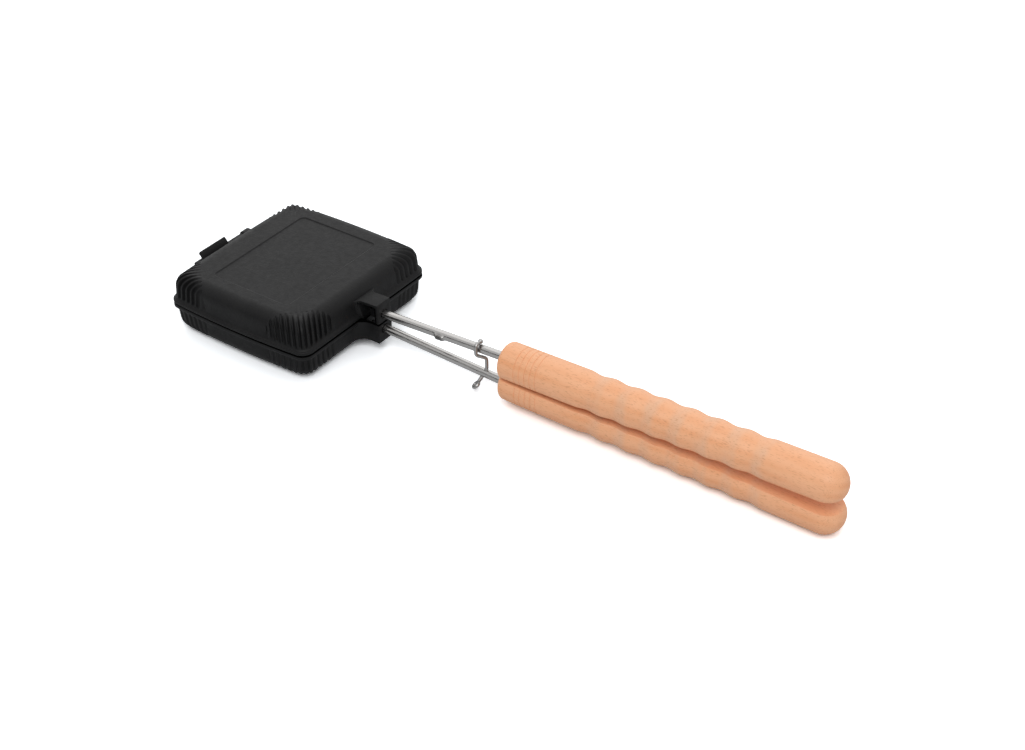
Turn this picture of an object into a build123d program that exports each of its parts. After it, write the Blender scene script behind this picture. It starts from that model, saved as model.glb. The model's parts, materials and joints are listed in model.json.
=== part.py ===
from build123d import *
from math import asin, atan2, cos, degrees, hypot, radians, sin, tan
import os

# Pie iron: two hinged cast-iron pans on steel rods with turned wooden grips.
#
# The iron is drawn with its parting plane level at z = 0 and the rim of its
# hinge side at x = 0. +X runs from the hinge to the ends of the grips.
# The last lines turn it to how it lies on a table, with z = 0 on the table.
# Lengths are in millimetres and angles in degrees.

# ---------------------------------------------------------------- driving dimensions

# One pan, drawn as the upper one
PAN_LENGTH = 122.7  # along X, over the rim
PAN_WIDTH = 127.5  # along Y, over the rim at both ends of its bowed sides
SIDE_BOW = 2.6  # how far each side stands out further in its middle
PAN_DEPTH = 21.5  # parting plane to outer face
RIM_PROUD = 1.6  # how far the rim stands out past the wall
RIM_TOP = 3.0  # height of the rim above the parting plane
RIM_CORNER_R = 7.5
WALL_CORNER_R = 7.0
WALL_DRAFT = 4.0
SHOULDER_R = 10.0
FOOT = 1.3  # sloped foot between the rim and the wall
CAST_WALL = 4.0
CAST_FLOOR = 4.0
CAVITY_CORNER_R = 6.0
CAVITY_FLOOR_R = 5.0
LAND_WIDTH = 2.6  # flat band round the cavity, where the two pans meet
RIM_GAP = 0.5  # relief of each rim outside that band

# Shallow panel in the outer face
PANEL_FROM_HINGE_SIDE = 27.0  # from the rim
PANEL_LENGTH = 67.0
PANEL_WIDTH = 92.0
PANEL_CORNER_R = 4.0
PANEL_DEPTH = 0.8

# Flutes across each corner
FLUTE_START = 65.0  # from the pan's centre, along the corner's diagonal
FLUTE_PITCH = 3.35
FLUTE_WIDTH = 1.7
FLUTE_DEPTH = 0.6
FLUTE_COUNT = 14
FLUTE_FOOT = 2.0  # plain wall left above the rim

# Socket that holds the rod, on the side away from the hinge
SOCKET_REACH = 14.7  # from the rim to the socket's front face
SOCKET_HALF_WIDTH = 6.75
SOCKET_ABOVE_ROD = 9.3
SOCKET_FLARE_R = 8.0
SOCKET_EDGE_R = 1.0
SOCKET_FRONT_WALL = 2.8
SOCKET_SIDE_WALL = 2.0
SOCKET_TOP_WALL = 1.9
POCKET_FROM_RIM = 2.0  # iron left between the pocket and the line of the rim

# Steel rods
ROD_D = 6.0
ROD_HEIGHT_AT_SOCKET = 5.75  # rod centre from the parting plane
ROD_HEIGHT_AT_GRIP = 9.9
ROD_IN_GRIP = 60.0
ROD_SEAT = 0.8  # depth of the recess that the rod's shoulder stands in
ROD_SEAT_D = 6.6
STUD_D = 5.0  # threaded end of the rod
STUD_CLEARANCE = 0.1
STUD_PAST_NUT = 2.0
ROD_GLUE_GAP = 0.05

NUT_ACROSS_FLATS = 8.0
NUT_THICKNESS = 4.7
WASHER_D = 8.8
WASHER_THICKNESS = 1.2
THREAD_GAP = 0.02

# Punched lug on the upper rod
LUG_FROM_SOCKET = 48.5
LUG_LENGTH = 8.0
LUG_HEIGHT = 3.4
LUG_RAISE = 0.8  # above the rod's centre
LUG_PROUD = 1.5

# Wooden grips, round with one flat face
GRIP_FRONT_X = 238.4
GRIP_LENGTH = 241.8
GRIP_R = 13.0
GRIP_FLAT = 6.6  # flat face to the turning axis
UPPER_GRIP_GAP = (1.8, 6.5)  # parting plane to the flat face, at the front and the back
LOWER_GRIP_GAP = (0.25, 3.3)
GRIP_FRONT_R = 3.0
RING_FIRST = 14.0  # from the grip's front to its first ring
RING_PITCH = 4.1
RING_COUNT = 5
RING_DEPTH = 0.45
RING_WIDTH = 0.9
WAVE_FIRST = 68.4  # from the grip's front to its first hollow
WAVE_PITCH = 19.1
WAVE_COUNT = 7  # hollows
WAVE_DEPTH = 1.1

# Hinge: a curved tongue on the lower pan behind a bar on the upper pan
HINGE_BAR_X = -8.35
HINGE_BAR_Z = 7.2
HINGE_BAR_R = 2.4
KNUCKLE_R = 2.9
KNUCKLE_WIDTH = 7.0
KNUCKLE_END_Y = 26.5
EAR_WIDTH = 3.1
TONGUE_Y = (-24.0, 1.0)
TONGUE_CURVE_X = -18.7
TONGUE_CURVE_Z = 4.0
TONGUE_INNER_R = 14.2
TONGUE_THICKNESS = 3.3
TONGUE_SWEEP = 47.0
TONGUE_ROOT_BOTTOM = -8.0
SIDE_PLAY = 0.6

# Wire latch that swivels in a leaning hole through the lower rod
WIRE_D = 2.2
WIRE_PLAY = 0.06  # all round, in the rod's hole
LATCH_FROM_GRIP = 18.6  # hole in front of the grips
LATCH_LEAN = (3.7, 0, 7.6)  # direction of the hole, upwards
LATCH_BELOW_ROD = 1.7  # wire under the lower rod, along the hole, to its first corner
LATCH_ABOVE_ROD = 1.9  # and over the rod to the next corner
LATCH_KNEE = (2.3, 0, 3.3)  # bend between the rods, from the hole and the parting plane
LATCH_LEG_X = -2.7  # upright leg beside the upper rod, from the hole
LATCH_LEG_Y = -4.7
LATCH_LEG_FOOT = -3.0  # ends of the leg, from the upper rod's centre
LATCH_LEG_TOP = 4.9
LATCH_TIP_Y = 2.4
LATCH_BEND_R = 1.6
EYE_R = 2.1  # to the wire's centre line
EYE_FROM_ROD = (-2.3, -6.3, -7.0)  # eye's centre, from the lower rod's
EYE_ACROSS = (1.0, -0.2, 0.1)  # second direction in the eye's plane


OVERRUN = 1.0  # how far cutting shapes, and shapes that are cut back, run past the piece

# ---------------------------------------------------------------- worked out from them

PAN_CENTRE = (PAN_LENGTH / 2, 0)
CAVITY_INSET = RIM_PROUD + CAST_WALL  # from the rim's outline to the cavity's
SOCKET_X = PAN_LENGTH + SOCKET_REACH

ROD_ANGLE = degrees(atan2(ROD_HEIGHT_AT_GRIP - ROD_HEIGHT_AT_SOCKET, GRIP_FRONT_X - SOCKET_X))
ROD_DIRECTION = Vector(cos(radians(ROD_ANGLE)), 0, sin(radians(ROD_ANGLE)))
ROD_START = Vector(SOCKET_X, 0, ROD_HEIGHT_AT_SOCKET)
# Plane with z along the rod, x across it and y up
ROD_PLANE = Plane(origin=ROD_START, x_dir=(0, 1, 0), z_dir=ROD_DIRECTION)

LATCH_X = GRIP_FRONT_X - LATCH_FROM_GRIP


def rod_height(x):
    """Height of the upper rod's centre above the parting plane at x."""
    return ROD_HEIGHT_AT_SOCKET + (x - SOCKET_X) * tan(radians(ROD_ANGLE))


def below_parting(part):
    """The same piece turned over about the X axis, for the lower half."""
    return part.rotate(Axis.X, 180)


# ---------------------------------------------------------------- pans


def pan_outline(inset, corner_r):
    """The rim's bowed outline, drawn in by an inset and with its own corner radius."""
    near_x = inset
    far_x = PAN_LENGTH - inset
    end_y = PAN_WIDTH / 2 - inset
    middle_y = end_y + SIDE_BOW
    with BuildSketch() as outline:
        with BuildLine():
            Line((near_x, end_y), (near_x, -end_y))
            ThreePointArc((near_x, -end_y), (PAN_LENGTH / 2, -middle_y), (far_x, -end_y))
            Line((far_x, -end_y), (far_x, end_y))
            ThreePointArc((far_x, end_y), (PAN_LENGTH / 2, middle_y), (near_x, end_y))
        make_face()
        fillet(outline.vertices(), radius=corner_r)
    return outline.sketch


def pan_blank(inset):
    """Tapered, round-shouldered block of the pan's outside, made smaller all round."""
    with BuildPart() as blank:
        with BuildSketch():
            add(pan_outline(RIM_PROUD + inset, WALL_CORNER_R - inset))
        extrude(amount=PAN_DEPTH - inset, taper=WALL_DRAFT)
        outer_face = blank.faces().sort_by(Axis.Z)[-1]
        fillet(outer_face.edges(), radius=SHOULDER_R - inset)
    return blank.part


def flute_places():
    """Where each flute starts, and the corner diagonal that it follows."""
    for diagonal in (45, 135, 225, 315):
        along = Vector(1, 0, 0).rotate(Axis.Z, diagonal)
        across = Vector(0, 1, 0).rotate(Axis.Z, diagonal)
        for index in range(FLUTE_COUNT):
            offset = (index - (FLUTE_COUNT - 1) / 2) * FLUTE_PITCH
            start = Vector(*PAN_CENTRE, 0) + along * FLUTE_START + across * offset
            yield Location(start, (0, 0, diagonal))


def flute_grooves():
    """The iron taken out of the blank's skin by the flutes."""
    reach = hypot(PAN_LENGTH, PAN_WIDTH) / 2 - FLUTE_START
    foot = RIM_TOP + FLUTE_FOOT
    with BuildPart() as grooves:
        add(pan_blank(0))
        add(pan_blank(FLUTE_DEPTH), mode=Mode.SUBTRACT)
        with BuildSketch(Plane.XY.offset(foot)):
            with Locations(*flute_places()):
                Rectangle(reach, FLUTE_WIDTH, align=(Align.MIN, Align.CENTER))
        extrude(amount=PAN_DEPTH - foot, mode=Mode.INTERSECT)
    return grooves.part


def socket_block():
    """Block on the pan's wall that the rod enters, flared where it meets the wall."""
    wall_x = PAN_LENGTH - RIM_PROUD - PAN_DEPTH / 2 * tan(radians(WALL_DRAFT))
    flare_x = wall_x + SOCKET_FLARE_R
    flare_y = SOCKET_HALF_WIDTH + SOCKET_FLARE_R
    inner_x = wall_x - CAST_WALL
    front_x = SOCKET_X + OVERRUN
    with BuildPart() as block:
        with BuildSketch():
            with BuildLine():
                CenterArc((flare_x, -flare_y), SOCKET_FLARE_R, 180, -90)
                Polyline(
                    (flare_x, -SOCKET_HALF_WIDTH),
                    (front_x, -SOCKET_HALF_WIDTH),
                    (front_x, SOCKET_HALF_WIDTH),
                    (flare_x, SOCKET_HALF_WIDTH),
                )
                CenterArc((flare_x, flare_y), SOCKET_FLARE_R, 270, -90)
                Polyline(
                    (wall_x, flare_y),
                    (inner_x, flare_y),
                    (inner_x, -flare_y),
                    (wall_x, -flare_y),
                )
            make_face()
        extrude(amount=PAN_DEPTH)
        split(bisect_by=ROD_PLANE, keep=Keep.BOTTOM)
        top_up = Vector(-sin(radians(ROD_ANGLE)), 0, cos(radians(ROD_ANGLE)))
        top_plane = Plane(origin=ROD_START + top_up * SOCKET_ABOVE_ROD, z_dir=top_up)
        split(bisect_by=top_plane, keep=Keep.BOTTOM)
        front_edges = block.faces().sort_by(Axis.X)[-1].edges().sort_by(Axis.Z)[1:]
        fillet(front_edges, radius=SOCKET_EDGE_R)
    return block.part


def pan_cavity():
    """The hollow for the food."""
    with BuildPart() as cavity:
        with BuildSketch():
            add(pan_outline(CAVITY_INSET, CAVITY_CORNER_R))
        extrude(amount=PAN_DEPTH - CAST_FLOOR, taper=WALL_DRAFT)
        floor_face = cavity.faces().sort_by(Axis.Z)[-1]
        fillet(floor_face.edges(), radius=CAVITY_FLOOR_R)
    return cavity.part


def socket_pocket():
    """Hollow of the socket, open to the parting plane and to the -Y side."""
    depth = SOCKET_REACH - SOCKET_FRONT_WALL - POCKET_FROM_RIM
    open_side = SOCKET_HALF_WIDTH + SOCKET_FLARE_R + OVERRUN
    closed_side = SOCKET_HALF_WIDTH - SOCKET_SIDE_WALL
    pocket_top = SOCKET_ABOVE_ROD - SOCKET_TOP_WALL
    with BuildPart() as pocket:
        with BuildSketch(ROD_PLANE.offset(-SOCKET_FRONT_WALL)):
            with BuildLine():
                Polyline(
                    (-open_side, -PAN_DEPTH / 2),
                    (closed_side, -PAN_DEPTH / 2),
                    (closed_side, pocket_top),
                    (-open_side, pocket_top),
                    close=True,
                )
            make_face()
        extrude(amount=-depth)
    return pocket.part


def rim_relief():
    """Thin slab that keeps the rims and sockets of the two pans apart."""
    margin = SOCKET_REACH + OVERRUN
    with BuildPart() as relief:
        with BuildSketch():
            with Locations(PAN_CENTRE):
                Rectangle(PAN_LENGTH + 2 * margin, PAN_WIDTH + 2 * margin)
            land = pan_outline(CAVITY_INSET - LAND_WIDTH, CAVITY_CORNER_R + LAND_WIDTH)
            add(land, mode=Mode.SUBTRACT)
        extrude(amount=RIM_GAP)
    return relief.part


with BuildPart() as casting:
    add(pan_blank(0))
    with BuildSketch():
        add(pan_outline(0, RIM_CORNER_R))
    extrude(amount=RIM_TOP)
    with BuildSketch(Plane.XY.offset(RIM_TOP)):
        add(pan_outline(RIM_PROUD - FOOT + FLUTE_DEPTH, WALL_CORNER_R))
    extrude(amount=FOOT, taper=45)
    add(socket_block())
    add(pan_cavity(), mode=Mode.SUBTRACT)
    add(rim_relief(), mode=Mode.SUBTRACT)
    add(socket_pocket(), mode=Mode.SUBTRACT)
    with BuildSketch(Plane.XY.offset(PAN_DEPTH)):
        with Locations((PANEL_FROM_HINGE_SIDE + PANEL_LENGTH / 2, 0)):
            RectangleRounded(PANEL_LENGTH, PANEL_WIDTH, PANEL_CORNER_R)
    extrude(amount=-PANEL_DEPTH, mode=Mode.SUBTRACT)
    with BuildSketch(ROD_PLANE):
        Circle(ROD_SEAT_D / 2)
    extrude(amount=-ROD_SEAT, mode=Mode.SUBTRACT)
    with BuildSketch(ROD_PLANE):
        Circle(STUD_D / 2 + STUD_CLEARANCE)
    extrude(amount=-SOCKET_FRONT_WALL - OVERRUN, mode=Mode.SUBTRACT)

grooves = flute_grooves()

# The bar runs from an ear, past the tongue, to a knuckle; its web behind and both ends
# run into the thickness of the pan's wall.
HINGE_ROOT_X = RIM_PROUD + CAST_WALL / 2
EAR_Y = (TONGUE_Y[0] - SIDE_PLAY - EAR_WIDTH, TONGUE_Y[0] - SIDE_PLAY)
WEB_Y = (TONGUE_Y[1] + SIDE_PLAY, KNUCKLE_END_Y - KNUCKLE_WIDTH)
KNUCKLE_Y = (WEB_Y[1], KNUCKLE_END_Y)


def hinge_section(y):
    """Upright plane across the hinge, with x along X and y along Z."""
    return Plane(origin=(0, y, 0), x_dir=(1, 0, 0), z_dir=(0, -1, 0))


with BuildPart() as upper_shell:
    add(casting.part)
    for (near_y, far_y), radius in ((EAR_Y, HINGE_BAR_R), (WEB_Y, HINGE_BAR_R), (KNUCKLE_Y, KNUCKLE_R)):
        with BuildSketch(hinge_section(far_y)):
            with Locations((HINGE_BAR_X, HINGE_BAR_Z)):
                Circle(radius)
            with Locations(((HINGE_BAR_X + HINGE_ROOT_X) / 2, HINGE_BAR_Z)):
                Rectangle(HINGE_ROOT_X - HINGE_BAR_X, 2 * radius)
        extrude(amount=far_y - near_y)
    with BuildSketch(hinge_section(WEB_Y[0])):
        with Locations((HINGE_BAR_X, HINGE_BAR_Z)):
            Circle(HINGE_BAR_R)
    extrude(amount=WEB_Y[0] - EAR_Y[1])
    add(grooves, mode=Mode.SUBTRACT)

TONGUE_OUTER_R = TONGUE_INNER_R + TONGUE_THICKNESS
TONGUE_FACE_X = TONGUE_CURVE_X + TONGUE_OUTER_R
TONGUE_BACK_X = TONGUE_CURVE_X + TONGUE_INNER_R

with BuildPart() as lower_shell:
    add(below_parting(casting.part))
    with BuildSketch(hinge_section(TONGUE_Y[1])):
        with BuildLine():
            centre = (TONGUE_CURVE_X, TONGUE_CURVE_Z)
            face = CenterArc(centre, TONGUE_OUTER_R, 0, TONGUE_SWEEP)
            back = CenterArc(centre, TONGUE_INNER_R, 0, TONGUE_SWEEP)
            Line(face @ 1, back @ 1)
            Polyline(
                back @ 0,
                (TONGUE_BACK_X, TONGUE_ROOT_BOTTOM),
                (HINGE_ROOT_X, TONGUE_ROOT_BOTTOM),
                (HINGE_ROOT_X, -RIM_GAP),
                (TONGUE_FACE_X, -RIM_GAP),
                face @ 0,
            )
        make_face()
    extrude(amount=TONGUE_Y[1] - TONGUE_Y[0])
    along_y = lower_shell.edges().filter_by(Axis.Y)
    tongue_edges = along_y.filter_by(lambda edge: edge.center().X < TONGUE_FACE_X)
    fillet(tongue_edges.sort_by(Axis.Z)[-2:], radius=TONGUE_THICKNESS / 3)
    fillet(tongue_edges.sort_by(Axis.Z)[0], radius=TONGUE_THICKNESS)
    add(below_parting(grooves), mode=Mode.SUBTRACT)

# ---------------------------------------------------------------- rods and their nuts


def rod_blank():
    """Straight rod with its threaded end behind the socket's front wall."""
    grip_reach = (GRIP_FRONT_X - SOCKET_X) / cos(radians(ROD_ANGLE)) + ROD_IN_GRIP
    stud_length = SOCKET_FRONT_WALL + WASHER_THICKNESS + NUT_THICKNESS + STUD_PAST_NUT
    with BuildPart() as blank:
        with BuildSketch(ROD_PLANE.offset(-ROD_SEAT)):
            Circle(ROD_D / 2)
        extrude(amount=grip_reach + ROD_SEAT)
        with BuildSketch(ROD_PLANE.offset(-ROD_SEAT)):
            Circle(STUD_D / 2)
        extrude(amount=-(stud_length - ROD_SEAT))
    return blank.part


with BuildPart() as upper_rod:
    add(rod_blank())
    with BuildSketch(ROD_PLANE.offset(LUG_FROM_SOCKET - LUG_LENGTH / 2)):
        with Locations((-ROD_D / 4 - LUG_PROUD / 2, LUG_RAISE)):
            Rectangle(ROD_D / 2 + LUG_PROUD, LUG_HEIGHT)
    extrude(amount=LUG_LENGTH)
    lug_face = upper_rod.faces().sort_by(Axis.Y)[0]
    chamfer(lug_face.edges(), length=LUG_PROUD / 2)

NUT_PLANE = ROD_PLANE.offset(-SOCKET_FRONT_WALL - WASHER_THICKNESS)

with BuildPart() as upper_washer:
    with BuildSketch(ROD_PLANE.offset(-SOCKET_FRONT_WALL)):
        Circle(WASHER_D / 2)
        Circle(STUD_D / 2 + STUD_CLEARANCE, mode=Mode.SUBTRACT)
    extrude(amount=-WASHER_THICKNESS)

with BuildPart() as upper_nut:
    with BuildSketch(NUT_PLANE):
        RegularPolygon(NUT_ACROSS_FLATS / 2, 6, major_radius=False, rotation=90)
        Circle(STUD_D / 2 + THREAD_GAP, mode=Mode.SUBTRACT)
    extrude(amount=-NUT_THICKNESS)

# ---------------------------------------------------------------- grips


def grip_plane(gap):
    """Plane with x along a grip's turning axis and y up, from the gaps to its flat face."""
    front, back = gap
    along = Vector(GRIP_LENGTH, 0, back - front).normalized()
    return Plane(origin=(GRIP_FRONT_X, 0, front + GRIP_FLAT), x_dir=along, z_dir=(0, -1, 0))


def wave_points():
    """Outline points of the finger hollows: crests and hollows taken in turn."""
    first_crest = WAVE_FIRST - WAVE_PITCH / 2
    for step in range(2 * WAVE_COUNT + 1):
        hollow = step % 2
        yield first_crest + step * WAVE_PITCH / 2, GRIP_R - hollow * WAVE_DEPTH


def grip(gap):
    """Turned grip with its flat face down, its rings and the bore for the rod."""
    plane = grip_plane(gap)
    turning_axis = Axis(plane.origin, plane.x_dir)
    bore_depth = (GRIP_FRONT_X - SOCKET_X) / cos(radians(ROD_ANGLE)) + ROD_IN_GRIP
    waves = list(wave_points())
    with BuildPart() as turned:
        with BuildSketch(plane):
            with BuildLine():
                Line((0, 0), (0, GRIP_R - GRIP_FRONT_R))
                CenterArc((GRIP_FRONT_R, GRIP_R - GRIP_FRONT_R), GRIP_FRONT_R, 180, -90)
                Line((GRIP_FRONT_R, GRIP_R), waves[0])
                Spline(*waves, tangents=((1, 0), (1, 0)))
                Line(waves[-1], (GRIP_LENGTH - GRIP_R, GRIP_R))
                CenterArc((GRIP_LENGTH - GRIP_R, 0), GRIP_R, 90, -90)
                Line((GRIP_LENGTH, 0), (0, 0))
            make_face()
        revolve(axis=turning_axis)
        with BuildSketch(plane):
            for ring in range(RING_COUNT):
                with Locations((RING_FIRST + ring * RING_PITCH, GRIP_R)):
                    Rectangle(RING_WIDTH, 2 * RING_DEPTH)
        revolve(axis=turning_axis, mode=Mode.SUBTRACT)
        with BuildSketch(plane.offset(-2 * GRIP_R)):
            with Locations((GRIP_LENGTH / 2, -GRIP_FLAT - GRIP_R)):
                Rectangle(GRIP_LENGTH + 2 * OVERRUN, 2 * GRIP_R)
        extrude(amount=4 * GRIP_R, mode=Mode.SUBTRACT)
        with BuildSketch(ROD_PLANE):
            Circle(ROD_D / 2 + ROD_GLUE_GAP)
        extrude(amount=bore_depth, mode=Mode.SUBTRACT)
    return turned.part


with BuildPart() as upper_grip:
    add(grip(UPPER_GRIP_GAP))

with BuildPart() as lower_grip:
    add(below_parting(grip(LOWER_GRIP_GAP)))

# ---------------------------------------------------------------- latch

LATCH_PLANE = Plane(origin=(LATCH_X, 0, -rod_height(LATCH_X)), z_dir=LATCH_LEAN)


def latch_route():
    """Corners of the wire, from the eye under the rods to the hook's tip."""
    hole = LATCH_PLANE.origin
    lean = LATCH_PLANE.z_dir
    upper_z = rod_height(LATCH_X)
    leg_x = LATCH_X + LATCH_LEG_X
    return [
        hole + Vector(EYE_FROM_ROD),
        hole - lean * (ROD_D / 2 + LATCH_BELOW_ROD),
        hole + lean * (ROD_D / 2 + LATCH_ABOVE_ROD),
        Vector(LATCH_X, 0, 0) + Vector(LATCH_KNEE),
        Vector(leg_x, LATCH_LEG_Y, upper_z + LATCH_LEG_FOOT),
        Vector(leg_x, LATCH_LEG_Y, upper_z + LATCH_LEG_TOP),
        Vector(leg_x, LATCH_TIP_Y, upper_z + LATCH_LEG_TOP),
    ]


with BuildPart() as latch:
    route = latch_route()
    eye_centre = route[0]
    from_eye = (route[1] - eye_centre).normalized()
    route[0] = eye_centre + from_eye * EYE_R
    with BuildLine():
        wire = FilletPolyline(*route, radius=LATCH_BEND_R)
    with BuildSketch(Plane(origin=wire @ 0, z_dir=wire % 0)):
        Circle(WIRE_D / 2)
    sweep(path=wire)
    eye_axis = from_eye.cross(Vector(EYE_ACROSS)).normalized()
    with BuildSketch(Plane(origin=eye_centre, x_dir=from_eye, z_dir=from_eye.cross(eye_axis))):
        with Locations((EYE_R, 0)):
            Circle(WIRE_D / 2)
    revolve(axis=Axis(eye_centre, eye_axis))

with BuildPart() as lower_rod:
    add(below_parting(rod_blank()))
    with BuildSketch(LATCH_PLANE.offset(-ROD_D)):
        Circle(WIRE_D / 2 + WIRE_PLAY)
    extrude(amount=2 * ROD_D, mode=Mode.SUBTRACT)

# ---------------------------------------------------------------- how it lies on a table

# The pan's bottom edge on the hinge side and the end of the lower grip both touch the
# table, so the iron is turned a little about Y until they are level.
TAPER_INSET = PAN_DEPTH * tan(radians(WALL_DRAFT))
SHOULDER_INSET = SHOULDER_R * tan(radians(90 - WALL_DRAFT) / 2)
EDGE_X = RIM_PROUD + TAPER_INSET + SHOULDER_INSET
LOWER_GRIP_PLANE = grip_plane(LOWER_GRIP_GAP)
BUTT_CENTRE = LOWER_GRIP_PLANE.origin + LOWER_GRIP_PLANE.x_dir * (GRIP_LENGTH - GRIP_R)
BUTT_REACH = BUTT_CENTRE.X - EDGE_X
BUTT_RISE = PAN_DEPTH - BUTT_CENTRE.Z
BUTT_ANGLE = asin(GRIP_R / hypot(BUTT_REACH, BUTT_RISE))
TABLE_TILT = degrees(BUTT_ANGLE - atan2(BUTT_RISE, BUTT_REACH))

pieces = {
    "upper_shell": upper_shell.part,
    "lower_shell": lower_shell.part,
    "upper_rod": upper_rod.part,
    "lower_rod": lower_rod.part,
    "upper_washer": upper_washer.part,
    "lower_washer": below_parting(upper_washer.part),
    "upper_nut": upper_nut.part,
    "lower_nut": below_parting(upper_nut.part),
    "upper_grip": upper_grip.part,
    "lower_grip": lower_grip.part,
    "latch": latch.part,
}

tilt = Location((0, 0, 0), (0, -TABLE_TILT, 0))
boxes = [(tilt * piece).bounding_box() for piece in pieces.values()]
low_x = min(box.min.X for box in boxes)
high_x = max(box.max.X for box in boxes)
low_z = min(box.min.Z for box in boxes)
table = Location((-(low_x + high_x) / 2, 0, -low_z)) * tilt

os.makedirs("parts", exist_ok=True)
for node, piece in pieces.items():
    placed = table * piece
    placed.label = node
    export_step(placed, f"parts/{node}.step")

hinge_point = (table * Location((HINGE_BAR_X, 0, HINGE_BAR_Z))).position
latch_point = (table * Location(LATCH_PLANE.origin)).position
print(f"turned {TABLE_TILT:.4f} degrees about Y, rods {ROD_ANGLE:.3f} degrees off the parting plane")
print(f"hinge axis through {hinge_point}")
print(f"latch axis through {latch_point} along {LATCH_PLANE.z_dir} before turning")
print(f"parting plane's origin at {table.position}")
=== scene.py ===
# %% [markdown]
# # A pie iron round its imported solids
#
# A pie iron is two cast pans hinged at one end, on two steel rods with wooden grips.
# The solids that carry the joints and the mass are already packed. This notebook loads
# them as a fixed frame and dresses each one with a finer surface: worked out as arrays
# of points, so that every line on it has a reason and can be changed.

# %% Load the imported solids
import json
import bpy
import numpy as np
from mathutils import Matrix, Vector


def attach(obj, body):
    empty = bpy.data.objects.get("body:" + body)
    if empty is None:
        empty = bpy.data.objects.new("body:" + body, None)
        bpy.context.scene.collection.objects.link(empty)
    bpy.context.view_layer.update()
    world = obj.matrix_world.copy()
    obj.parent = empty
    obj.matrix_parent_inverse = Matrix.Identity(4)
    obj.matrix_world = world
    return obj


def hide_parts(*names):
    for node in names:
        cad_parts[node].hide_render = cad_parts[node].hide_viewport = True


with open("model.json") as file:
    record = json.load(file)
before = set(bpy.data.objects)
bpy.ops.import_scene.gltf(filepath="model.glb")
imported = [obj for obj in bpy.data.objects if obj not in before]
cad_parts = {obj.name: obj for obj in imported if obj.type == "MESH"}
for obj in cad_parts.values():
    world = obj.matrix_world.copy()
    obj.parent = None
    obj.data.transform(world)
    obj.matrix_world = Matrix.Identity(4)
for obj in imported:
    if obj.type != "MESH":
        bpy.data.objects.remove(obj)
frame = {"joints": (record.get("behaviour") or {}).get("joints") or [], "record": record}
bpy.context.scene.view_settings.view_transform = "Standard"
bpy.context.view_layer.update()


def new_object(name, data):
    """A new object in the scene, for a mesh, a lamp or a camera."""
    made = bpy.data.objects.new(name, data)
    bpy.context.scene.collection.objects.link(made)
    return made


# %% [markdown]
# ## Drawing in millimetres, in the casting's own frame
#
# A foundry drawing has its parting plane level and its sizes in millimetres, and the
# finished iron lies on a table, turned by a fraction of a degree. Every surface below is
# drawn the foundry's way, and one function turns it and makes it metres. The turn comes
# from the face that the iron rests on and the shift from the hinge, so neither is typed
# in twice.

# %% From the casting's frame to the table


def about_y(angle):
    """The matrix that turns points by an angle about Y, from X towards Z."""
    return np.array([
        [np.cos(angle), 0, -np.sin(angle)], [0, 1, 0], [np.sin(angle), 0, np.cos(angle)],
    ])


MM = 0.001
HINGE_BAR = np.array([-8.35, 0.0, 7.2])  # centre of the hinge's bar
rest_axis = frame["record"]["mounts"][0]["axis"]
table_tilt = np.arctan2(rest_axis[0], -rest_axis[2])
turn_to_table = about_y(table_tilt)
hinge_joint = next(joint for joint in frame["joints"] if joint["name"] == "pan_hinge")
shift_to_table = np.array(hinge_joint["pos_m"]) / MM - turn_to_table @ HINGE_BAR


def on_table(points):
    """Casting's millimetres to the table's metres: turned about Y, shifted, then scaled."""
    return (points @ turn_to_table.T + shift_to_table) * MM


def turned_over(part):
    """A part's points turned over about the X axis: y and z change sign. Its faces stay."""
    vertices, faces = part
    return vertices * np.array([1, -1, -1]), faces


print("tilt in degrees:", round(float(np.degrees(table_tilt)), 4))
print("shift in millimetres:", shift_to_table.round(3))

# %% [markdown]
# ## Camera
#
# A product camera looks down on the iron from beside the grips. The camera could be
# aimed with a constraint, but a constraint would hide the numbers, so its three axes are
# worked out from an azimuth, an elevation and a small roll.

# %% Camera
CAMERA_AIM = Vector((0.0096, -0.0021, 0.0221))
CAMERA_DISTANCE = 1.1704
CAMERA_AZIMUTH = np.radians(36.70)
CAMERA_ELEVATION = np.radians(35.87)
CAMERA_ROLL = np.radians(-1.39)
CAMERA_LENS, CAMERA_SENSOR = 64.36, 36.0  # millimetres

back = Vector((
    np.sin(CAMERA_AZIMUTH) * np.cos(CAMERA_ELEVATION),
    -np.cos(CAMERA_AZIMUTH) * np.cos(CAMERA_ELEVATION),
    np.sin(CAMERA_ELEVATION),
))
level = Vector((np.cos(CAMERA_AZIMUTH), np.sin(CAMERA_AZIMUTH), 0))
upright = back.cross(level)
right = level * np.cos(CAMERA_ROLL) + upright * np.sin(CAMERA_ROLL)
up = back.cross(right)
camera = new_object("camera", bpy.data.cameras.new("camera"))
camera.data.lens = CAMERA_LENS
camera.data.sensor_width = CAMERA_SENSOR
camera.matrix_world = Matrix.LocRotScale(
    CAMERA_AIM + back * CAMERA_DISTANCE, Matrix((right, up, back)).transposed(), None
)
bpy.context.scene.camera = camera
print("camera at", tuple(round(v, 3) for v in camera.location))

# %% [markdown]
# ## Shader helpers
#
# A shader is a net of small nodes. A few functions make the nodes that every material
# here needs, so the materials below read like the sentences that describe them.

# %% Node helpers


def feed(socket, value):
    """Gives a socket a constant, or links it to another node's result."""
    if isinstance(value, bpy.types.NodeSocket):
        socket.id_data.links.new(value, socket)
    else:
        socket.default_value = value


def new_node(tree, kind, inputs=(), **settings):
    """The outputs of a new node with these settings and these inputs, by name or by number."""
    made = tree.nodes.new("ShaderNode" + kind)
    for setting, value in settings.items():
        setattr(made, setting, value)
    for socket, value in dict(inputs).items():
        feed(made.inputs[socket], value)
    return made.outputs


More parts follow.
